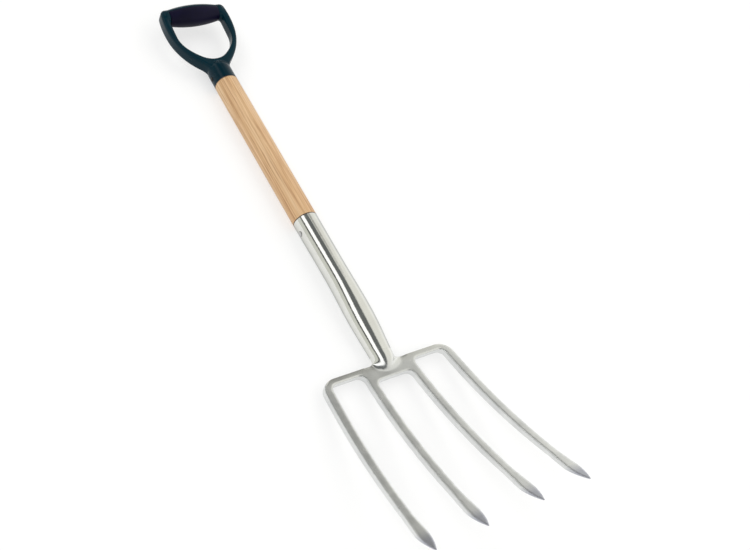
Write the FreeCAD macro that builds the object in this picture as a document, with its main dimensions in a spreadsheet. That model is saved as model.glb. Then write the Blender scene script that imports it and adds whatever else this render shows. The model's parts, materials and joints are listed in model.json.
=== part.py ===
import FreeCAD, Part
import math
import os
import Sketcher

# Digging fork, in millimetres.  The fork lies on its back: +X is across the tines,
# +Y runs along the shaft towards the handle, +Z is up and out of the front of the tines.
# Each sub-part is built about the shaft's axis and placed along Y by its Placement.

DIMENSIONS = [
    # lengths along the shaft
    ("head_length", 278, "shoulder of the head to the tips"),
    ("neck_length", 12, "end of the socket to the shoulder"),
    ("socket_length", 236, "steel socket, end to end"),
    ("bare_shaft_length", 281, "ash seen between socket and handle"),
    # shaft
    ("shaft_dia", 38, "ash shaft"),
    ("tenon_dia", 30, "end of the shaft inside the handle's collar"),
    ("tenon_length", 34, "tenon in the handle's collar"),
    ("shaft_in_socket", 196, "length of ash inside the socket"),
    ("shaft_end_dia", 24, "lower end of the shaft, inside the socket"),
    # socket
    ("socket_dia", 38, "outside of the socket's mouth, flush with the ash"),
    ("socket_wall", 1.6, "sheet thickness"),
    ("throat_width", 33.6, "socket's lower end, across"),
    ("throat_depth", 30, "socket's lower end, front to back"),
    ("throat_drop", 3.8, "socket's lower end, behind the shaft's axis"),
    ("weld_width", 2.4, "ground-flush weld ring"),
    ("spigot_length", 14, "part of the head inside the socket"),
    # head
    ("spigot_dia", 26, "part of the head inside the socket, across"),
    ("nose_length", 23, "rounded end of the neck on the crossbar"),
    ("neck_gusset", 13, "half width of the crossbar's gusset at the weld"),
    ("neck_foot", 28, "where the gusset meets the shoulder"),
    ("neck_fillet", 16, "concave side of the gusset"),
    ("shoulder_radius", 22, "outer bends of the outer tines"),
    ("arm_width", 10, "crossbar beside the neck"),
    ("web_width", 25.5, "crossbar between the two inner tines"),
    ("corner_radius", 9.5, "inside corners of the tine gaps"),
    ("tine_width", 12.5, "each tine, across"),
    ("leaf_width", 16.2, "each point at its widest"),
    ("leaf_length", 28, "widest place to the tip"),
    ("leaf_start", 58, "where the tine begins to widen, from the tip"),
    ("tip_width", 1.6, "blunt end of the point"),
    ("leaf_radius", 56, "curved edges of the point"),
    ("outer_root_x", 98.4, "outer tine's centre at the shoulder"),
    ("outer_tip_x", 121.5, "outer tine's centre at the tip"),
    ("inner_root_x", 34.4, "inner tine's centre at the shoulder"),
    ("inner_tip_x", 43.9, "inner tine's centre at the tip"),
    ("rest_length", 8, "flat of the crossbar's back, below the shoulder"),
    ("front_root_z", -2.2, "front face at the shoulder, from the shaft's axis"),
    ("shoulder_fall", 2, "front face lower at the neck than at the shoulder"),
    ("tip_thickness", 2, "blunt end of the point, front to back"),
    ("front_radius", 760, "curve of the tines' front"),
    ("front_tip_z", 88, "front face at the tips"),
    ("back_radius", 700, "curve of the tines' back"),
    ("back_root_z", -12.7, "back face at the shoulder"),
    ("back_bevel_z", 64.5, "back face where the points are bevelled"),
    ("bevel_length", 28, "bevel behind each point"),
    # handle
    ("frame_depth", 22, "front to back"),
    ("frame_edge", 4, "rounded edges of the frame"),
    ("collar_dome", 44, "top of the round collar"),
    ("set_y", 20, "where the frame leans forward, above the collar's end"),
    ("forward_set", 7, "degrees that the frame leans forward of the shaft"),
    ("grip_y", 140, "grip's axis above the collar's end"),
    ("grip_length", 84, "soft insert"),
    ("grip_mid_radius", 17.5, "grip at the middle"),
    ("grip_end_radius", 13, "grip at its ends"),
    ("grip_core_radius", 10, "frame's bar inside the grip"),
    ("insert_angle", 214, "part of the bar that the insert wraps"),
    # rivets
    ("handle_rivet_dia", 4, "shank"),
    ("handle_rivet_head", 7, "head across"),
    ("handle_rivet_y", 13, "above the collar's end"),
    ("socket_rivet_dia", 5, "shank"),
    ("socket_rivet_head", 9, "head across"),
    ("socket_rivet_y", 20, "below the socket's mouth"),
    ("rivet_head_height", 1.4, "domed heads"),
]

# Right half of the D frame and of its hand hole, from the collar upwards: x, y and the
# radius of the arc that leads to the next point (positive bends left on the way up, 0 is
# straight).  The arcs run into one another without a corner.
FRAME_OUTLINE = [
    (16, 20, -26.6),
    (24.5, 39.5, 103.7),
    (50, 76.5, 98.2),
    (56.5, 102, 147.6),
    (55.4, 143.6, 8),
    (48.4, 150.2, 0),
]
HAND_HOLE = [
    (0, 46.5, 32.6),
    (19, 52.6, 82.5),
    (38.3, 72, 41.9),
    (46, 96.5, 0),
]

# Sections of the socket: distance below its mouth, width, depth and rise of the centre.
SOCKET_SECTIONS = [
    (0, 38, 38, 0),
    (20, 37.7, 37.7, 0.15),
    (40, 37.4, 37.4, 0.3),
    (60, 37.1, 37.1, 0.5),
    (80, 36.9, 36.9, 0.7),
    (100, 36.9, 36.9, 0.85),
    (120, 37.5, 37, 0.9),
    (140, 38.8, 36.6, 0.55),
    (160, 39.9, 35.8, 0),
    (180, 40, 34.4, -0.7),
    (200, 38.4, 32.9, -1.6),
    (218, 36, 31.4, -2.7),
    (236, 33.6, 30, -3.8),
]

doc = FreeCAD.newDocument("digging_fork")
dims = doc.addObject("Spreadsheet::Sheet", "dims")


def fill_sheet():
    rows = list(DIMENSIONS)
    for name, chain in (("frame", FRAME_OUTLINE), ("hole", HAND_HOLE)):
        for number, (x, y, _radius) in enumerate(chain, start=1):
            rows.append((f"{name}_x_{number}", x, f"{name} outline, point {number}"))
            rows.append((f"{name}_y_{number}", y, f"{name} outline, point {number}"))
    for number, section in enumerate(SOCKET_SECTIONS, start=1):
        for what, value in zip(("down", "wide", "deep", "rise"), section):
            rows.append((f"socket_{what}_{number}", value, f"socket section {number}"))
    for row, (alias, value, note) in enumerate(rows, start=1):
        dims.set(f"A{row}", note)
        dims.set(f"B{row}", str(value))
        dims.setAlias(f"B{row}", alias)
    doc.recompute()


def size(expression):
    """Value of an expression of the sheet's aliases, such as 'dims.shaft_dia / 2'."""
    return float(dims.evalExpression(expression))


def bind(thing, **expressions):
    for name, expression in expressions.items():
        thing.setExpression(name, expression)


def place(thing, y_expression, lean=None):
    """Stand a sub-part on the shaft's axis, at y_expression along the fork."""
    if lean:
        thing.Placement.Rotation = FreeCAD.Rotation(FreeCAD.Vector(1, 0, 0), 1)
        thing.setExpression("Placement.Rotation.Angle", lean)
    thing.setExpression("Placement.Base.y", y_expression)
    thing.setExpression("Placement.Base.z", "dims.socket_dia / 2")


TOTAL = (
    "(dims.head_length + dims.neck_length + dims.socket_length + dims.bare_shaft_length"
    " + dims.set_y + (dims.grip_y - dims.set_y) * cos(dims.forward_set * 1 deg)"
    " + dims.grip_mid_radius)"
)
TIP_Y = f"-{TOTAL} / 2"
SHOULDER_Y = f"{TIP_Y} + dims.head_length"
SOCKET_END_Y = f"{SHOULDER_Y} + dims.neck_length"
MOUTH_Y = f"{SOCKET_END_Y} + dims.socket_length"
COLLAR_Y = f"{MOUTH_Y} + dims.bare_shaft_length"


def new_body(label):
    body = doc.addObject("PartDesign::Body", label)
    body.Label = label
    return body


def new_sketch(body, name, plane="XY_Plane", up=None, turned=None):
    """Sketch on one of the body's origin planes, moved up its own y axis by 'up' and
    turned by an angle about the body's X axis."""
    sketch = body.newObject("Sketcher::SketchObject", name)
    support = next(f for f in body.Origin.OriginFeatures if f.Role == plane)
    sketch.AttachmentSupport = [(support, "")]
    sketch.MapMode = "FlatFace"
    if up:
        sketch.setExpression("AttachmentOffset.Base.y", up)
    if turned:
        along_x = (0, 0, 1) if plane == "YZ_Plane" else (1, 0, 0)
        sketch.AttachmentOffset = FreeCAD.Placement(
            FreeCAD.Vector(), FreeCAD.Rotation(FreeCAD.Vector(along_x), 1)
        )
        sketch.setExpression("AttachmentOffset.Rotation.Angle", turned)
    return sketch


def arc_between(start, end, radius):
    """Arc of the given radius; a positive radius bends left on the way from start to end."""
    chord = end - start
    left = FreeCAD.Vector(-chord.y, chord.x, 0).normalize()
    sagitta_leg = math.sqrt(max(radius * radius - chord.Length**2 / 4, 0))
    centre = (start + end) / 2 + left * (sagitta_leg if radius > 0 else -sagitta_leg)
    first, last = (start, end) if radius > 0 else (end, start)
    angles = [math.atan2(p.y - centre.y, p.x - centre.x) for p in (first, last)]
    circle = Part.Circle(centre, FreeCAD.Vector(0, 0, 1), abs(radius))
    return Part.ArcOfCircle(circle, angles[0], angles[1])


def draw_chain(sketch, points):
    """Closed, fully dimensioned outline.  Each point is (x, y, radius): two expressions and
    the radius, as an expression with its sign or 0, of the arc to the next point."""
    corners = [FreeCAD.Vector(size(x), size(y), 0) for x, y, _radius in points]
    ends = []
    for index, (_x, _y, radius) in enumerate(points):
        start, end = corners[index], corners[(index + 1) % len(corners)]
        if radius == 0:
            geometry = sketch.addGeometry(Part.LineSegment(start, end), False)
            ends.append((geometry, 1, 2))
            continue
        value = size(radius)
        geometry = sketch.addGeometry(arc_between(start, end, value), False)
        ends.append((geometry, 1, 2) if value > 0 else (geometry, 2, 1))
        rule = sketch.addConstraint(Sketcher.Constraint("Radius", geometry, abs(value)))
        sketch.setExpression(f"Constraints[{rule}]", f"abs({radius})")
    for index, (x, y, _radius) in enumerate(points):
        geometry, first, _last = ends[index]
        before, _first, last = ends[index - 1]
        sketch.addConstraint(Sketcher.Constraint("Coincident", before, last, geometry, first))
        for kind, expression in (("DistanceX", x), ("DistanceY", y)):
            value = size(expression)
            rule = Sketcher.Constraint(kind, -1, 1, geometry, first, value)
            sketch.setExpression(f"Constraints[{sketch.addConstraint(rule)}]", expression)


def draw_circle(sketch, diameter, x="0"):
    centre = FreeCAD.Vector(size(x), 0, 0)
    circle = Part.Circle(centre, FreeCAD.Vector(0, 0, 1), size(diameter) / 2)
    geometry = sketch.addGeometry(circle, False)
    sketch.addConstraint(Sketcher.Constraint("DistanceY", -1, 1, geometry, 3, 0))
    across = sketch.addConstraint(
        Sketcher.Constraint("DistanceX", -1, 1, geometry, 3, centre.x)
    )
    sketch.setExpression(f"Constraints[{across}]", x)
    rule = sketch.addConstraint(Sketcher.Constraint("Diameter", geometry, size(diameter)))
    sketch.setExpression(f"Constraints[{rule}]", diameter)


def mirrored(right_half):
    """Points up the right side, then the same points down the left side."""
    left_half = []
    for index in reversed(range(len(right_half))):
        x, y, _radius = right_half[index]
        arriving = right_half[index - 1][2] if index else 0
        left_half.append((f"-({x})", y, arriving))
    return list(right_half) + left_half


def pad(body, sketch, length):
    feature = body.newObject("PartDesign::Pad", f"{sketch.Name}_pad")
    feature.Profile = sketch
    feature.Midplane = True
    bind(feature, Length=length)
    return feature


def pocket(body, sketch, length):
    feature = body.newObject("PartDesign::Pocket", f"{sketch.Name}_cut")
    feature.Profile = sketch
    feature.Midplane = True
    bind(feature, Length=length)
    return feature


def turn(body, sketch, axis="V_Axis", angle="360", cut=False):
    kind = "PartDesign::Groove" if cut else "PartDesign::Revolution"
    feature = body.newObject(kind, f"{sketch.Name}_turn")
    feature.Profile = sketch
    feature.ReferenceAxis = (sketch, [axis])
    feature.Midplane = True
    bind(feature, Angle=angle)
    return feature


def round_edges(body, base, chosen, radius):
    doc.recompute()
    names = [f"Edge{i}" for i, edge in enumerate(base.Shape.Edges, 1) if chosen(edge)]
    feature = body.newObject("PartDesign::Fillet", f"{base.Name}_rounded")
    feature.Base = (base, names)
    bind(feature, Radius=radius)
    return feature


def rectangle(x_low, y_low, x_high, y_high):
    return [(x_low, y_low, 0), (x_high, y_low, 0), (x_high, y_high, 0), (x_low, y_high, 0)]


def rivet_hole(body, name, diameter, up, turned=None):
    """Hole straight through the body along X."""
    sketch = new_sketch(body, name, "YZ_Plane", turned=turned)
    draw_circle(sketch, diameter, x=up)
    pocket(body, sketch, "2 * dims.socket_dia")


def chain_of(name, outline):
    """The outline's points as expressions of the cells that hold them."""
    return [
        (f"dims.{name}_x_{number}", f"dims.{name}_y_{number}", str(radius) if radius else 0)
        for number, (_x, _y, radius) in enumerate(outline, start=1)
    ]


def make_handle_frame():
    body = new_body("handle_frame")
    outline = new_sketch(body, "frame_outline", up="-dims.set_y")
    draw_chain(outline, mirrored(chain_of("frame", FRAME_OUTLINE)))
    plate = pad(body, outline, "dims.frame_depth")
    half_depth = size("dims.frame_depth / 2")

    def on_a_face(edge):
        box = edge.BoundBox
        return box.ZLength < 0.01 and abs(abs(box.ZMin) - half_depth) < 0.01

    round_edges(body, plate, on_a_face, "dims.frame_edge")

    hole = new_sketch(body, "hand_hole", up="-dims.set_y")
    right = chain_of("hole", HAND_HOLE)
    side, bar_bottom = right[-1][0], "dims.grip_y - dims.grip_end_radius"
    right.append((side, bar_bottom, 0))
    draw_chain(hole, mirrored(right)[:-1])
    holed = pocket(body, hole, "2 * dims.frame_depth")
    inner_side = size(side) + 0.1

    def beside_the_hole(edge):
        box = edge.BoundBox
        return on_a_face(edge) and box.XMin > -inner_side and box.XMax < inner_side

    round_edges(body, holed, beside_the_hole, "dims.frame_edge")

    slot = new_sketch(body, "grip_slot", up="-dims.set_y")
    draw_chain(slot, rectangle(f"-{side}", bar_bottom, side, "dims.grip_y + dims.socket_dia"))
    pocket(body, slot, "2 * dims.frame_depth")

    collar = new_sketch(body, "collar", turned="-dims.forward_set")
    radius, dome = "dims.socket_dia / 2", "(dims.collar_dome - dims.set_y)"
    draw_chain(collar, [
        ("0", "-dims.set_y", 0),
        (radius, "-dims.set_y", 0),
        (radius, f"{dome} - {radius}", radius),
        ("0", dome, 0),
    ])
    turn(body, collar)
    core = new_sketch(body, "grip_core", up="dims.grip_y - dims.set_y")
    half, reach = "dims.grip_length / 2", "(dims.grip_length / 2 + 8)"
    draw_chain(core, [
        (f"-{reach}", "0", 0),
        (reach, "0", 0),
        (reach, "dims.grip_end_radius", 0),
        (half, "dims.grip_end_radius", 0),
        (half, "dims.grip_core_radius", 0),
        (f"-{half}", "dims.grip_core_radius", 0),
        (f"-{half}", "dims.grip_end_radius", 0),
        (f"-{reach}", "dims.grip_end_radius", 0),
    ])
    turn(body, core, axis="H_Axis")
    spine = new_sketch(body, "palm_side", up="dims.grip_y - dims.set_y")
    draw_chain(spine, barrel(1))
    turn(body, spine, axis="H_Axis", angle="360 - dims.insert_angle")

    bore = new_sketch(body, "tenon_bore", turned="-dims.forward_set")
    mouth, end = "-(dims.set_y + 1)", "dims.tenon_length - dims.set_y"
    draw_chain(bore, rectangle("0", mouth, "dims.tenon_dia / 2", end))
    turn(body, bore, cut=True)
    up = "dims.handle_rivet_y - dims.set_y"
    rivet_hole(body, "frame_rivet_hole", "dims.handle_rivet_dia", up, "-dims.forward_set")
    place(body, f"{COLLAR_Y} + dims.set_y", "dims.forward_set")
    return body


def barrel(side):
    """Wall of the barrel-shaped grip, from the core outwards, on one side of its axis."""
    half, sign = "dims.grip_length / 2", "" if side > 0 else "-"
    rise = "(dims.grip_mid_radius - dims.grip_end_radius)"
    radius = f"((dims.grip_length / 2) ^ 2 + {rise} ^ 2) / (2 * {rise})"
    bend = f"-{radius}" if side > 0 else radius
    return [
        (f"-{half}", f"{sign}dims.grip_core_radius", 0),
        (f"-{half}", f"{sign}dims.grip_end_radius", bend),
        (half, f"{sign}dims.grip_end_radius", 0),
        (half, f"{sign}dims.grip_core_radius", 0),
    ]


def make_grip_insert():
    body = new_body("grip_insert")
    sketch = new_sketch(body, "insert_wall", up="dims.grip_y - dims.set_y")
    draw_chain(sketch, barrel(-1))
    turn(body, sketch, axis="H_Axis", angle="dims.insert_angle")
    place(body, f"{COLLAR_Y} + dims.set_y", "dims.forward_set")
    return body


def make_shaft():
    """Ash shaft: tenon in the collar, full diameter, then a taper inside the socket."""
    body = new_body("ash_shaft")
    sketch = new_sketch(body, "shaft_profile")
    inside = "dims.socket_dia / 2 - dims.socket_wall"
    mouth = "-dims.bare_shaft_length"
    draw_chain(sketch, [
        ("0", "dims.tenon_length", 0),
        ("0", f"{mouth} - dims.shaft_in_socket", 0),
        ("dims.shaft_end_dia / 2", f"{mouth} - dims.shaft_in_socket", 0),
        (inside, mouth, 0),
        ("dims.shaft_dia / 2", mouth, 0),
        ("dims.shaft_dia / 2", "0", 0),
        ("dims.tenon_dia / 2", "0", 0),
        ("dims.tenon_dia / 2", "dims.tenon_length", 0),
    ])
    turn(body, sketch)
    rivet_hole(body, "tenon_rivet_hole", "dims.handle_rivet_dia", "dims.handle_rivet_y")
    rivet_hole(
        body,
        "shaft_rivet_hole",
        "dims.socket_rivet_dia",
        "-dims.bare_shaft_length - dims.socket_rivet_y",
    )
    place(body, COLLAR_Y)
    return body


def make_rivet(label, diameter, head, y_expression):
    """Rivet along X: a shank and two domed heads that bear on the tube's sides."""
    body = new_body(label)
    sketch = new_sketch(body, f"{label}_profile")
    grip, height = "dims.socket_dia / 2", "dims.rivet_head_height"
    dome = f"(({head} / 2) ^ 2 + {height} ^ 2) / (2 * {height})"
    draw_chain(sketch, [
        (f"-({grip} + {height})", "0", f"-{dome}"),
        (f"-({grip})", f"{head} / 2", 0),
        (f"-({grip})", f"{diameter} / 2", 0),
        (grip, f"{diameter} / 2", 0),
        (grip, f"{head} / 2", f"-{dome}"),
        (f"{grip} + {height}", "0", 0),
    ])
    turn(body, sketch, axis="H_Axis")
    place(body, y_expression)
    return body


def ellipse(name, y, width, depth, rise):
    """Section across the fork, 'rise' in front of the shaft's axis."""
    section = doc.addObject("Part::Ellipse", name)
    bind(section, MajorRadius=f"{width} / 2", MinorRadius=f"{depth} / 2")
    section.Placement = FreeCAD.Placement(
        FreeCAD.Vector(), FreeCAD.Rotation(FreeCAD.Vector(1, 0, 0), 90)
    )
    section.setExpression("Placement.Base.y", y)
    section.setExpression("Placement.Base.z", rise)
    return section


def socket_loft(name, inset):
    """Solid through the socket's sections, each smaller all round by the inset."""
    sections = [
        tuple(f"dims.socket_{what}_{number}" for what in ("down", "wide", "deep", "rise"))
        for number in range(1, len(SOCKET_SECTIONS) + 1)
    ]
    loft = doc.addObject("Part::Loft", name)
    loft.Sections = [
        ellipse(f"{name}_{index}", f"-{down}", f"({wide} - 2 * {inset})",
                f"({deep} - 2 * {inset})", rise)
        for index, (down, wide, deep, rise) in enumerate(sections)
    ]
    loft.Solid = True
    loft.Ruled = False
    return loft


def finish_of(tool_name, kind, base, tool, label):
    feature = doc.addObject(kind, tool_name)
    feature.Base = base
    feature.Tool = tool
    feature.Label = label
    return feature


def cross_pin(name, diameter, y):
    """Cylinder along X through the shaft's axis, to cut a rivet's hole."""
    pin = doc.addObject("Part::Cylinder", name)
    bind(pin, Radius=f"{diameter} / 2", Height="2 * dims.socket_dia")
    pin.Placement = FreeCAD.Placement(
        FreeCAD.Vector(), FreeCAD.Rotation(FreeCAD.Vector(0, 1, 0), 90)
    )
    pin.setExpression("Placement.Base.x", "-dims.socket_dia")
    pin.setExpression("Placement.Base.y", y)
    return pin


def make_socket():
    outside = socket_loft("socket_outside", "0")
    inside = socket_loft("socket_inside", "dims.socket_wall")
    tube = finish_of("socket_tube", "Part::Cut", outside, inside, "socket_tube")
    pin = cross_pin("socket_rivet_hole", "dims.socket_rivet_dia", "-dims.socket_rivet_y")
    socket = finish_of("socket", "Part::Cut", tube, pin, "socket")
    place(socket, MOUTH_Y)
    return socket


def tine_centre(tine, y):
    """Across the fork, centre of the outer or inner tine at y below the shoulder."""
    spread = f"(dims.{tine}_tip_x - dims.{tine}_root_x)"
    return f"(dims.{tine}_root_x - {spread} * ({y}) / dims.head_length)"


def tine_side(tine, top, outside):
    """Outer or inner side of a tine, from its root down to its blunt tip."""
    sign, bend = ("+", "-") if outside else ("-", "")
    tip = "-dims.head_length"
    start, wide = f"({tip} + dims.leaf_start)", f"({tip} + dims.leaf_length)"
    return [
        (f"{tine_centre(tine, top)} {sign} dims.tine_width / 2", top, 0),
        (f"{tine_centre(tine, start)} {sign} dims.tine_width / 2", start, 0),
        (f"{tine_centre(tine, wide)} {sign} dims.leaf_width / 2", wide, f"{bend}dims.leaf_radius"),
        (f"{tine_centre(tine, tip)} {sign} dims.tip_width / 2", tip, 0),
    ]


def upwards(points):
    """The same points in the other order, with each arc bending the other way."""
    result = []
    for index in reversed(range(len(points))):
        x, y, _radius = points[index]
        radius = points[index - 1][2] if index else 0
        if radius:
            radius = radius[1:] if radius.startswith("-") else f"-{radius}"
        result.append((x, y, radius))
    return result


def right_half_of_head():
    """Plan of the head's right half, from the neck round to the middle of the crossbar."""
    half = "dims.tine_width / 2"
    arm, web, bend = "-dims.arm_width", "-dims.web_width", "dims.shoulder_radius"
    corner_r = "dims.corner_radius"
    outer_in = f"{tine_centre('outer', arm)} - {half}"
    inner_out = f"{tine_centre('inner', arm)} + {half}"
    inner_in = f"{tine_centre('inner', web)} - {half}"
    outside = tine_side("outer", f"-{bend}", True)
    gusset = [
        ("dims.neck_gusset", "dims.neck_length - dims.weld_width", "dims.neck_fillet"),
        ("dims.neck_foot", "0", 0),
        (f"{outside[0][0]} - {bend}", "0", f"-{bend}"),
    ]
    return (
        gusset
        + outside
        + upwards(tine_side("outer", f"({arm} - {corner_r})", False))[:-1]
        + [(f"{tine_centre('outer', arm)} - {half}", f"{arm} - {corner_r}", corner_r)]
        + [(f"{outer_in} - {corner_r}", arm, 0), (f"{inner_out} + {corner_r}", arm, corner_r)]
        + tine_side("inner", f"({arm} - {corner_r})", True)
        + upwards(tine_side("inner", f"({web} - {corner_r})", False))[:-1]
        + [(inner_in, f"{web} - {corner_r}", corner_r), (f"{inner_in} - {corner_r}", web, 0)]
    )


def make_head():
    """One forging: a slab curved like the tines, cut to the plan of crossbar and tines."""
    body = new_body("fork_head")
    side_view = new_sketch(body, "tine_curve", "YZ_Plane")
    back, neck_top = "dims.back_root_z", "dims.neck_length - dims.weld_width"
    tip = "-dims.head_length"
    draw_chain(side_view, [
        (neck_top, back, 0),
        (neck_top, "dims.front_root_z - dims.shoulder_fall", 0),
        ("0", "dims.front_root_z", "-dims.front_radius"),
        (tip, "dims.front_tip_z", 0),
        (tip, "dims.front_tip_z - dims.tip_thickness", 0),
        (f"{tip} + dims.bevel_length", "dims.back_bevel_z", "dims.back_radius"),
        ("-dims.rest_length", back, 0),
    ])
    pad(body, side_view, "3 * dims.outer_tip_x")

    plan = new_sketch(body, "head_plan")
    draw_chain(plan, mirrored(right_half_of_head()))
    far, margin = "2 * dims.outer_tip_x", "dims.head_length + 10"
    draw_chain(plan, rectangle(f"-{far}", f"-({margin})", far, margin))
    pocket(body, plan, "4 * dims.front_tip_z")

    nose = body.newObject("PartDesign::AdditiveEllipsoid", "neck")
    plane = next(f for f in body.Origin.OriginFeatures if f.Role == "XZ_Plane")
    nose.AttachmentSupport = [(plane, "")]
    nose.MapMode = "FlatFace"
    bind(
        nose,
        Radius1="dims.nose_length",
        Radius2="dims.throat_width / 2",
        Radius3="dims.throat_depth / 2",
        Angle1="0",
    )
    nose.setExpression("AttachmentOffset.Base.y", "-dims.throat_drop")
    nose.setExpression("AttachmentOffset.Base.z", f"-({neck_top})")
    spigot = body.newObject("PartDesign::AdditiveCylinder", "spigot")
    spigot.AttachmentSupport = [(plane, "")]
    spigot.MapMode = "FlatFace"
    bind(spigot, Radius="dims.spigot_dia / 2", Height="dims.spigot_length + dims.weld_width")
    spigot.setExpression("AttachmentOffset.Base.y", "-dims.throat_drop")
    spigot.setExpression(
        "AttachmentOffset.Base.z", "-(dims.neck_length + dims.spigot_length)"
    )
    place(body, SHOULDER_Y)
    return body


def make_weld():
    """Ring of weld between socket and neck, ground flush with both."""
    loft = doc.addObject("Part::Loft", "weld_outside")
    loft.Sections = [
        ellipse(
            f"weld_section_{end}", y, "dims.throat_width", "dims.throat_depth", "-dims.throat_drop"
        )
        for end, y in (("low", "-dims.weld_width"), ("high", "0"))
    ]
    loft.Solid = True
    loft.Ruled = True
    hole = doc.addObject("Part::Cylinder", "weld_inside")
    bind(hole, Radius="dims.spigot_dia / 2", Height="4 * dims.weld_width")
    hole.Placement = FreeCAD.Placement(
        FreeCAD.Vector(), FreeCAD.Rotation(FreeCAD.Vector(1, 0, 0), 90)
    )
    hole.setExpression("Placement.Base.y", "dims.weld_width")
    hole.setExpression("Placement.Base.z", "-dims.throat_drop")
    ring = finish_of("socket_weld", "Part::Cut", loft, hole, "socket_weld")
    place(ring, SOCKET_END_Y)
    return ring


def check(parts):
    failed = [o.Name for o in doc.Objects if {"Invalid", "Error"} & set(o.State)]
    bad = [p.Label for p in parts if p.Shape.isNull() or not p.Shape.isValid()]
    if failed or bad:
        raise SystemExit(f"failed objects {failed}, bad shapes {bad}")


def main():
    fill_sheet()
    parts = [
        make_handle_frame(),
        make_grip_insert(),
        make_rivet(
            "handle_rivet",
            "dims.handle_rivet_dia",
            "dims.handle_rivet_head",
            f"{COLLAR_Y} + dims.handle_rivet_y",
        ),
        make_shaft(),
        make_socket(),
        make_rivet(
            "socket_rivet",
            "dims.socket_rivet_dia",
            "dims.socket_rivet_head",
            f"{MOUTH_Y} - dims.socket_rivet_y",
        ),
        make_weld(),
        make_head(),
    ]
    doc.recompute()
    check(parts)
    os.makedirs("parts", exist_ok=True)
    for part in parts:
        part.Shape.exportStep(f"parts/{part.Label}.step")
        box = part.Shape.optimalBoundingBox()
        print(f"{part.Label:14} {part.Shape.Volume / 1000:8.2f} cm3 {len(part.Shape.Solids)} solid")
        print(f"    {box}")


main()
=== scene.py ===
import json
import math

import bmesh
import bpy
from mathutils import Matrix, Vector


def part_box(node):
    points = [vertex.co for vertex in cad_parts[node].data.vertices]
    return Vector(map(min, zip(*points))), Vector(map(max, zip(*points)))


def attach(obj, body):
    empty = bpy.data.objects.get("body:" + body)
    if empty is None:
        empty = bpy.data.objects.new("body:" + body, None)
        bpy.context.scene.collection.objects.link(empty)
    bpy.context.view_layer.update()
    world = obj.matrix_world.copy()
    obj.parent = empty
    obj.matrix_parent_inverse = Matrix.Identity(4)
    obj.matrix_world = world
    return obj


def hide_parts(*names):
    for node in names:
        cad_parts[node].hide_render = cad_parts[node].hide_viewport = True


# Looks of the digging fork, in metres.  The fork lies on its back on the floor: +X is
# across the tines, +Y runs along the shaft to the handle and +Z is up, out of the front.

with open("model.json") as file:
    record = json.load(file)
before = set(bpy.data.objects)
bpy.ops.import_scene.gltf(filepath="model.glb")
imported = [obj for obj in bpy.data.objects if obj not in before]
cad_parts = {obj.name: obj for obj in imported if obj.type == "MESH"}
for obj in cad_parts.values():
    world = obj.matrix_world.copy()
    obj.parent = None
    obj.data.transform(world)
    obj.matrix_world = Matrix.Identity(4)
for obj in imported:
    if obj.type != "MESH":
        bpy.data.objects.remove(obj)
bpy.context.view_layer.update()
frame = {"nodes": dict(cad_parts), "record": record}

# Camera: its place, the point it looks at, its roll about the line of sight and its lens.
CAMERA_AT = Vector((-0.7128, -0.6793, 1.1822))
CAMERA_AIM = Vector((0.0492, -0.0791, 0.03))
CAMERA_ROLL = math.radians(28.17)
CAMERA_LENS = 50.4
SENSOR_WIDTH = 36.0

# Light and floor.  The floor glows a little, which keeps it white under the fork.
WORLD_LIGHT = 1.5
SKYLIGHT = 1.25
SKYLIGHT_SPREAD = math.radians(120)
FLOOR_SIZE = 12.0
FLOOR_TONE = 0.42
FLOOR_GLOW = 0.56

WHITE = (1.0, 1.0, 1.0)
CREAM = (0.64, 0.635, 0.60)
SHADED = (0.50, 0.505, 0.47)
DARK = (0.03, 0.03, 0.03)
GREY_CARD = (0.11, 0.115, 0.115)
# Studio walls round the shaft: degrees from straight up towards +X, and the colour there.
WALL_BANDS = [
    (-100, SHADED),
    (-62, SHADED),
    (-55, DARK),
    (-48, DARK),
    (-46, WHITE),
    (-22, WHITE),
    (-19, GREY_CARD),
    (12, GREY_CARD),
    (19, CREAM),
    (60, CREAM),
    (120, WHITE),
]
# Grey wall beyond the handle: its tone, the shares of +Y in a direction between which it
# comes in, and those of +X between which it comes in, on its left, and goes out again.
GREY_WALL = (0.33, 0.33, 0.33)
GREY_WALL_ALONG = (0.41, 0.48)
GREY_WALL_LEFT = (0.25, 0.35)
GREY_WALL_RIGHT = (0.47, 0.56)

# Softened shapes: vertices closer than the gap are one, a corner sharper than the angle is
# rounded, and the remeshed faces have this size.
WELD_GAP = 1e-6
CORNER_ANGLE = math.radians(35)
FACE_SIZE = 0.0008
FORGING_ROUNDING = 0.0016
MOULDING_ROUNDING = 0.001
# Rounds of smoothing, everywhere and then at the neck alone.
SMOOTH_ROUNDS = 36
NECK_ROUNDS = 160
# A rivet's edges that are sharper than this look sharp, and the rest of it looks round.
RIM_ANGLE = math.radians(40)

# Flare of the neck into the crossbar.  It starts inside the tube, by the overlap, a little
# thinner than the weld.  Then come rings: how far towards the points, the shares of the
# weld's width and depth there, and how far the middle sinks.
FLARE_OVERLAP = 0.004
FLARE_INSET = 0.0002
FLARE = [
    (0.000, 1.00, 1.00, 0.0000),
    (0.006, 1.00, 0.96, 0.0004),
    (0.012, 1.08, 0.80, 0.0014),
    (0.019, 1.26, 0.60, 0.0026),
    (0.027, 1.50, 0.40, 0.0036),
]


# ---------------------------------------------------------------- nodes

# Numbers of the Mix node's sockets for its factor and colours, which share their names.
MIX_FACTOR, MIX_FIRST, MIX_SECOND = 0, 6, 7
MIX_RESULT = 2

# Values of a noise between which a mottle runs from one shade to the other.
MOTTLE_LOW, MOTTLE_HIGH = 0.3, 0.7


def opaque(colour):
    """Red, green, blue and full alpha, from three numbers or from one grey."""
    if not isinstance(colour, tuple):
        colour = (colour, colour, colour)
    return (*colour, 1.0)


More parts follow.
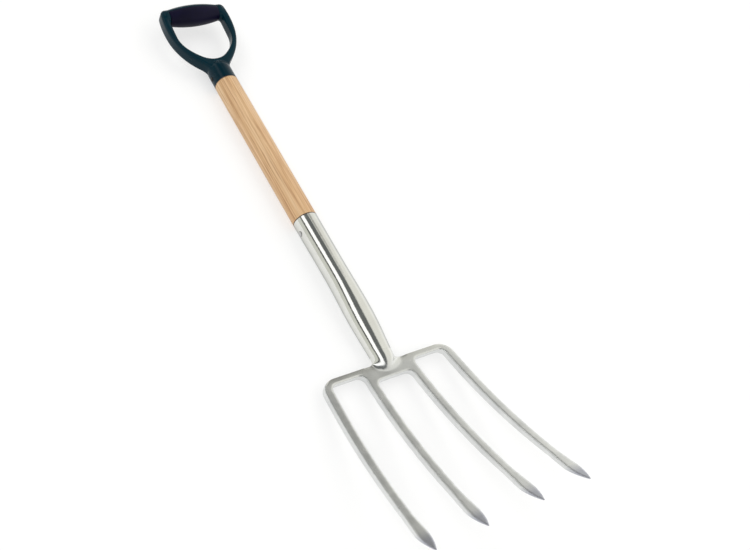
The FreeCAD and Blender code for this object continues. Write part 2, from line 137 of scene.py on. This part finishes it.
class Nodes:
    """A node tree under construction, a material's or the world's."""

    def __init__(self, tree):
        self.tree = tree

    def node(self, kind, inputs=(), **settings):
        """A new node; an input, by name or number, is a plain value or another's output."""
        made = self.tree.nodes.new(f"ShaderNode{kind}")
        for name, value in settings.items():
            setattr(made, name, value)
        for name, value in dict(inputs).items():
            if isinstance(value, bpy.types.NodeSocket):
                self.tree.links.new(value, made.inputs[name])
            else:
                made.inputs[name].default_value = value
        return made

    def arithmetic(self, operation, *values):
        return self.node("Math", enumerate(values), operation=operation).outputs[0]

    def ramp(self, factor, *stops):
        """Colours (or greys, as plain numbers) along a factor from 0 to 1."""
        made = self.node("ValToRGB", {"Fac": factor})
        elements = made.color_ramp.elements
        while len(elements) < len(stops):
            elements.new(0.5)
        for element, (position, colour) in zip(elements, stops):
            element.position = position
            element.color = opaque(colour)
        return made.outputs["Color"]

    def mix(self, factor, first, second, blend="MIX"):
        inputs = {MIX_FACTOR: factor, MIX_FIRST: first, MIX_SECOND: second}
        made = self.node("Mix", inputs, data_type="RGBA", blend_type=blend)
        return made.outputs[MIX_RESULT]


class Paint(Nodes):
    """A material under construction: its nodes, its shader and the object's coordinates."""

    def __init__(self, name):
        self.material = bpy.data.materials.new(name)
        self.material.use_nodes = True
        super().__init__(self.material.node_tree)
        self.shader = self.tree.nodes["Principled BSDF"]
        self.place = self.node("TexCoord").outputs["Object"]

    def plain(self, **values):
        """Plain values of the shader's own sockets; an underscore stands for a space."""
        for name, value in values.items():
            self.shader.inputs[name.replace("_", " ")].default_value = value

    def drive(self, socket, value):
        self.tree.links.new(value, self.shader.inputs[socket])

    def along(self):
        """The place along the shaft."""
        return self.node("SeparateXYZ", {"Vector": self.place}).outputs["Y"]

    def rising(self, value, start, end):
        """0 before start, 1 past end and straight in between; end may be the lower one."""
        inputs = {"Value": value, "From Min": start, "From Max": end}
        return self.node("MapRange", inputs).outputs["Result"]

    def stretched(self, scale, turn=(0.0, 0.0, 0.0)):
        """The object's coordinates, scaled along each axis."""
        inputs = {"Vector": self.place, "Scale": scale, "Rotation": turn}
        return self.node("Mapping", inputs).outputs["Vector"]

    def noise(self, scale, where=None, detail=3.0, roughness=0.5):
        inputs = {
            "Vector": where or self.place,
            "Scale": scale,
            "Detail": detail,
            "Roughness": roughness,
        }
        return self.node("TexNoise", inputs).outputs["Fac"]

    def mottle(self, noise, low, high):
        """From one colour or grey to the other, as the noise goes."""
        return self.ramp(noise, (MOTTLE_LOW, low), (MOTTLE_HIGH, high))

    def bump(self, height, distance, strength):
        inputs = {"Height": height, "Distance": distance, "Strength": strength}
        self.drive("Normal", self.node("Bump", inputs).outputs["Normal"])


# ---------------------------------------------------------------- materials

def handle_plastic():
    """Dark green-blue moulding, satin, with a very fine texture."""
    paint = Paint("handle_plastic")
    deep, light = (0.0001, 0.0150, 0.0250), (0.0003, 0.0215, 0.0340)
    paint.drive("Base Color", paint.mottle(paint.noise(22.0, detail=4.0), deep, light))
    paint.drive("Roughness", paint.mottle(paint.noise(60.0), 0.20, 0.28))
    paint.plain(Specular_IOR_Level=0.12)
    paint.bump(paint.noise(900.0), 0.00006, 0.4)
    return paint.material


def grip_rubber():
    """Soft dark blue grip, duller than the handle."""
    paint = Paint("grip_rubber")
    deep, light = (0.0014, 0.0010, 0.0110), (0.0028, 0.0017, 0.0180)
    paint.drive("Base Color", paint.mottle(paint.noise(30.0, detail=4.0), deep, light))
    paint.drive("Roughness", paint.mottle(paint.noise(80.0), 0.42, 0.52))
    paint.plain(Specular_IOR_Level=0.14)
    paint.bump(paint.noise(1400.0), 0.00008, 0.5)
    return paint.material


def ash_wood():
    """Straight-grained ash: growth rings cut lengthways, fine pores, a waxed surface, and
    painted shade where the wood goes into the socket and the collar."""
    paint = Paint("ash_wood")
    lean = (0.0, 0.0, 0.012)

    def grain(scale, stretch, **settings):
        return paint.noise(scale, paint.stretched((1.0, stretch, 1.0), lean), **settings)

    rings = grain(380.0, 0.014, detail=4.0, roughness=0.6)
    pores = grain(560.0, 0.018, roughness=0.7)
    streaks = grain(95.0, 0.022, detail=2.0)
    patches = paint.noise(14.0, paint.stretched((1.0, 0.3, 1.0)), detail=2.0)
    colour = paint.ramp(
        rings,
        (0.30, (0.46, 0.255, 0.118)),
        (0.42, (0.60, 0.370, 0.188)),
        (0.54, (0.675, 0.450, 0.250)),
        (0.68, (0.72, 0.510, 0.305)),
    )
    # Each darkens the wood: its tint, the noise values where that is full and gone, and how
    # much of it counts.
    for noise, tint, full, gone, strength in (
        (pores, (0.60, 0.47, 0.36), 0.34, 0.50, 0.85),
        (streaks, (0.76, 0.60, 0.45), 0.28, 0.40, 0.8),
        (patches, (0.92, 0.87, 0.82), 0.32, 0.6, 1.0),
    ):
        shade = paint.ramp(noise, (full, tint), (gone, WHITE))
        colour = paint.mix(strength, colour, shade, "MULTIPLY")
    along = paint.along()
    # Painted shade: a thin dark brown band on the wood beside the socket's mouth and the
    # collar, where shadow falls into the joints.
    joint_shade_reach = 0.0015
    for joint_y in (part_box("socket")[1][1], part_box("handle_frame")[0][1]):
        joint_shade = paint.arithmetic("COMPARE", along, joint_y, joint_shade_reach)
        colour = paint.mix(joint_shade, colour, opaque((0.055, 0.030, 0.018)))
    paint.drive("Base Color", colour)
    paint.drive("Roughness", paint.ramp(pores, (0.35, 0.55), (0.6, 0.40)))
    paint.bump(pores, 0.00012, 0.35)
    return paint.material


def polished_steel():
    """Mirror-polished tube with the faint lengthways lines of its polishing."""
    paint = Paint("polished_steel")
    lines = paint.noise(700.0, paint.stretched((1.0, 0.03, 1.0)), detail=2.0)
    clouds = paint.noise(35.0)
    deep, light = (0.70, 0.70, 0.665), (0.76, 0.765, 0.73)
    paint.drive("Base Color", paint.mottle(clouds, deep, light))
    paint.drive("Roughness", paint.mottle(clouds, 0.10, 0.16))
    paint.plain(Metallic=1.0, Specular_Tint=opaque((0.55, 0.56, 0.56)))
    paint.bump(lines, 0.00002, 0.25)
    return paint.material


def head_steel():
    """Polished forging: less even than the tube, as bright round the neck, and darker
    towards its points."""
    paint = Paint("head_steel")
    along = paint.along()
    tube_end_y, tip_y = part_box("socket")[0][1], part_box("fork_head")[0][1]
    near_neck = paint.rising(along, tube_end_y - 0.024, tube_end_y - 0.010)
    near_tip = paint.rising(along, tip_y + 0.030, tip_y + 0.016)
    deep, light = (0.64, 0.65, 0.65), (0.76, 0.77, 0.76)
    forged = paint.mottle(paint.noise(28.0, detail=4.0), deep, light)
    # Darker and bluer over the last few centimetres of the points.
    darker_at_points = paint.mix(near_tip, forged, opaque((0.44, 0.45, 0.50)))
    bright = opaque((0.73, 0.735, 0.70))
    paint.drive("Base Color", paint.mix(near_neck, darker_at_points, bright))
    rough = paint.mottle(paint.noise(50.0), 0.19, 0.28)
    paint.drive("Roughness", paint.mix(near_neck, rough, opaque(0.13)))
    paint.plain(Metallic=1.0)
    paint.bump(paint.noise(40.0, detail=1.0), 0.0005, 0.25)
    return paint.material


def rivet_paint(name, tones, roughness):
    """What both rivets' materials share: a fine mottle of tone and of roughness."""
    paint = Paint(name)
    clouds = paint.noise(300.0)
    paint.drive("Base Color", paint.mottle(clouds, *tones))
    paint.drive("Roughness", paint.mottle(clouds, *roughness))
    return paint


def rivet_steel():
    """Bright steel of the socket's rivet."""
    paint = rivet_paint("rivet_steel", (0.42, 0.55), (0.22, 0.32))
    paint.plain(Metallic=1.0)
    return paint.material


def black_steel():
    """Blackened steel of the handle's rivet."""
    paint = rivet_paint("black_steel", (0.008, 0.016), (0.34, 0.46))
    paint.plain(Specular_IOR_Level=0.3)
    return paint.material


MATERIALS = {
    "handle_plastic": handle_plastic(),
    "grip_rubber": grip_rubber(),
    "ash_wood": ash_wood(),
    "polished_steel": polished_steel(),
    "head_steel": head_steel(),
    "rivet_steel": rivet_steel(),
    "black_steel": black_steel(),
}


def finish_nodes():
    """Give every CAD node the material of its slot."""
    for subpart in frame["record"]["subparts"]:
        node = frame["nodes"][subpart["node"]]
        node.data.materials.clear()
        node.data.materials.append(MATERIALS[subpart["material_slot"]])


# ---------------------------------------------------------------- shapes

def built(builder, name):
    """The builder's mesh under a name; the builder is let go."""
    mesh = bpy.data.meshes.new(name)
    builder.to_mesh(mesh)
    builder.free()
    return mesh


def merged(name, nodes, shapes=()):
    """One piece made of copies of CAD nodes and of the given closed meshes."""
    builder = bmesh.new()
    for node in nodes:
        source = frame["nodes"][node]
        copy = source.data.copy()
        copy.transform(source.matrix_world)
        builder.from_mesh(copy)
    for shape in shapes:
        builder.from_mesh(shape)
    bmesh.ops.remove_doubles(builder, verts=builder.verts, dist=WELD_GAP)
    piece = bpy.data.objects.new(name, built(builder, name))
    bpy.context.scene.collection.objects.link(piece)
    return piece


def loft(name, rings, sides=64):
    """Closed mesh through upright ellipses across the shaft.

    Each ring is its place along the shaft, half width, half depth and height above the floor.
    """
    builder = bmesh.new()
    loops = []
    for along, half_width, half_depth, height in rings:
        loops.append([
            builder.verts.new((
                half_width * math.cos(math.tau * side / sides),
                along,
                height + half_depth * math.sin(math.tau * side / sides),
            ))
            for side in range(sides)
        ])
    for first, second in zip(loops, loops[1:]):
        for side in range(sides):
            after = (side + 1) % sides
            builder.faces.new((first[side], first[after], second[after], second[side]))
    builder.faces.new(loops[0])
    builder.faces.new(loops[-1])
    bmesh.ops.recalc_face_normals(builder, faces=builder.faces)
    return built(builder, name)


def apply_modifiers(piece):
    bpy.context.view_layer.update()
    graph = bpy.context.evaluated_depsgraph_get()
    mesh = bpy.data.meshes.new_from_object(piece.evaluated_get(graph))
    piece.modifiers.clear()
    piece.data = mesh


def even_out(piece, rounding):
    """Round the sharp edges by this width, then turn the mesh into small even faces."""
    bevel = piece.modifiers.new("rounded_edges", "BEVEL")
    bevel.width = rounding
    bevel.segments = 3
    bevel.limit_method = "ANGLE"
    bevel.angle_limit = CORNER_ANGLE
    apply_modifiers(piece)
    remesh = piece.modifiers.new("even_faces", "REMESH")
    remesh.mode = "VOXEL"
    remesh.voxel_size = FACE_SIZE
    apply_modifiers(piece)


def smooth_out(piece, rounds, softness):
    """Smooth the mesh fully where softness(point) is 1, and not at all where it is 0."""
    group = piece.vertex_groups.new(name="smoothed")
    for vertex in piece.data.vertices:
        group.add([vertex.index], softness(vertex.co), "REPLACE")
    smooth = piece.modifiers.new("soft_edges", "SMOOTH")
    smooth.factor = 0.5
    smooth.iterations = rounds
    smooth.vertex_group = group.name
    apply_modifiers(piece)
    piece.vertex_groups.clear()


def stand_in(piece, slot, *nodes):
    """Show the piece in place of the CAD nodes that it was made from."""
    for face in piece.data.polygons:
        face.use_smooth = True
    piece.data.materials.clear()
    piece.data.materials.append(MATERIALS[slot])
    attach(piece, "root")
    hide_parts(*nodes)


def fade(value, low, high):
    """0 below low, 1 above high and straight in between."""
    return min(1.0, max(0.0, (value - low) / (high - low)))


def make_forging():
    """The head: crossbar, neck and tines, with the neck running smoothly into the crossbar."""
    tip_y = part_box("fork_head")[0][1]
    weld_low, weld_high = (Vector(corner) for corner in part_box("socket_weld"))
    neck_y, neck_z = weld_high.y, (weld_high.z + weld_low.z) / 2
    half_width, half_depth = weld_high.x, (weld_high.z - weld_low.z) / 2
    inside_tube = (
        neck_y + FLARE_OVERLAP,
        half_width - FLARE_INSET,
        half_depth - FLARE_INSET,
        neck_z + FLARE_INSET,
    )
    flare = loft("flare", [inside_tube] + [
        (neck_y - onward, half_width * width, half_depth * depth, neck_z - sinking)
        for onward, width, depth, sinking in FLARE
    ])
    piece = merged("head_forging", ["fork_head", "socket_weld"], [flare])
    even_out(piece, FORGING_ROUNDING)

    inside = 0.003
    point_length, point_softness = 0.03, 0.25

    def everywhere(place):
        """Full as far as the tube's end and gone a little way inside it, less at the points."""
        outside_tube = fade(neck_y + inside - place.y, 0.0, inside)
        past_point = fade(place.y - tip_y, 0.0, point_length)
        return outside_tube * (point_softness + (1.0 - point_softness) * past_point)

    outside, coming_in = 0.001, 0.012
    oval_y, oval_aspect = neck_y - 0.010, 1.5
    oval_full, oval_gone = 0.012, 0.024

    def round_the_neck(place):
        """Full in an oval on the crossbar, fading out round it and towards the tube."""
        outside_tube = fade(neck_y - outside - place.y, 0.0, coming_in)
        from_middle = math.hypot(place.x / oval_aspect, place.y - oval_y)
        return outside_tube * (1.0 - fade(from_middle, oval_full, oval_gone))

    smooth_out(piece, SMOOTH_ROUNDS, everywhere)
    smooth_out(piece, NECK_ROUNDS, round_the_neck)
    stand_in(piece, "head_steel", "fork_head", "socket_weld")


def make_moulding():
    """The handle's frame, with the soft corners of a moulding above its joint to the wood."""
    collar_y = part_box("handle_frame")[0][1]
    piece = merged("handle_moulding", ["handle_frame"])
    even_out(piece, MOULDING_ROUNDING)

    def above_the_joint(place):
        return fade(place.y - collar_y, 0.001, 0.008)

    smooth_out(piece, SMOOTH_ROUNDS, above_the_joint)
    stand_in(piece, "handle_plastic", "handle_frame")


def make_rivet(node, slot):
    """A rivet of the CAD node's own shape, as one clean mesh with smooth domes."""
    piece = merged(node + "_body", [node])
    stand_in(piece, slot, node)
    piece.data.set_sharp_from_angle(angle=RIM_ANGLE)


# ---------------------------------------------------------------- room, light and camera

def make_floor():
    half = FLOOR_SIZE / 2
    mesh = bpy.data.meshes.new("floor")
    corners = [(-half, -half, 0), (half, -half, 0), (half, half, 0), (-half, half, 0)]
    mesh.from_pydata(corners, [], [(0, 1, 2, 3)])
    floor = bpy.data.objects.new("floor", mesh)
    bpy.context.scene.collection.objects.link(floor)
    paint = Paint("floor_white")
    paint.plain(Base_Color=opaque(FLOOR_TONE), Roughness=0.9, Specular_IOR_Level=0.1)
    paint.plain(Emission_Color=opaque(WHITE), Emission_Strength=FLOOR_GLOW)
    mesh.materials.append(paint.material)


def make_world():
    """A white studio with dark cards beside the light strip that runs along the shaft, and
    a grey wall beyond the handle: it is the polished steel that shows them."""
    world = bpy.data.worlds.new("studio")
    world.use_nodes = True
    studio = Nodes(world.node_tree)
    towards = studio.node("TexCoord").outputs["Generated"]
    sideways, along, upwards = studio.node("SeparateXYZ", {"Vector": towards}).outputs
    angle = studio.arithmetic("ARCTAN2", sideways, upwards)
    turn = studio.arithmetic("DIVIDE", angle, math.tau)
    place = studio.arithmetic("ADD", turn, 0.5)
    bands = studio.ramp(place, *(
        (0.5 + degrees / 360, colour) for degrees, colour in WALL_BANDS
    ))
    beyond = studio.ramp(along, *zip(GREY_WALL_ALONG, (WHITE, GREY_WALL)))
    right = studio.ramp(sideways, *zip(
        GREY_WALL_LEFT + GREY_WALL_RIGHT, (WHITE, GREY_WALL, GREY_WALL, WHITE)
    ))
    wall = studio.mix(1.0, beyond, right, "LIGHTEN")
    background = studio.tree.nodes["Background"]
    studio.tree.links.new(
        studio.mix(1.0, bands, wall, "MULTIPLY"), background.inputs["Color"]
    )
    background.inputs["Strength"].default_value = WORLD_LIGHT
    bpy.context.scene.world = world


def make_skylight():
    """Very soft light from straight above, which the steel doesn't mirror."""
    data = bpy.data.lights.new("skylight", "SUN")
    data.energy = SKYLIGHT
    data.angle = SKYLIGHT_SPREAD
    light = bpy.data.objects.new("skylight", data)
    light.visible_glossy = False
    bpy.context.scene.collection.objects.link(light)


def make_camera():
    data = bpy.data.cameras.new("camera")
    data.lens = CAMERA_LENS
    data.sensor_width = SENSOR_WIDTH
    camera = bpy.data.objects.new("camera", data)
    look = (CAMERA_AIM - CAMERA_AT).to_track_quat("-Z", "Y").to_matrix().to_4x4()
    camera.matrix_world = (
        Matrix.Translation(CAMERA_AT) @ look @ Matrix.Rotation(CAMERA_ROLL, 4, "Z")
    )
    bpy.context.scene.collection.objects.link(camera)
    bpy.context.scene.camera = camera


finish_nodes()
make_forging()
make_moulding()
make_rivet("handle_rivet", "black_steel")
make_rivet("socket_rivet", "rivet_steel")
make_floor()
make_world()
make_skylight()
make_camera()

bpy.context.scene.view_settings.view_transform = "Standard"

bpy.context.view_layer.update()
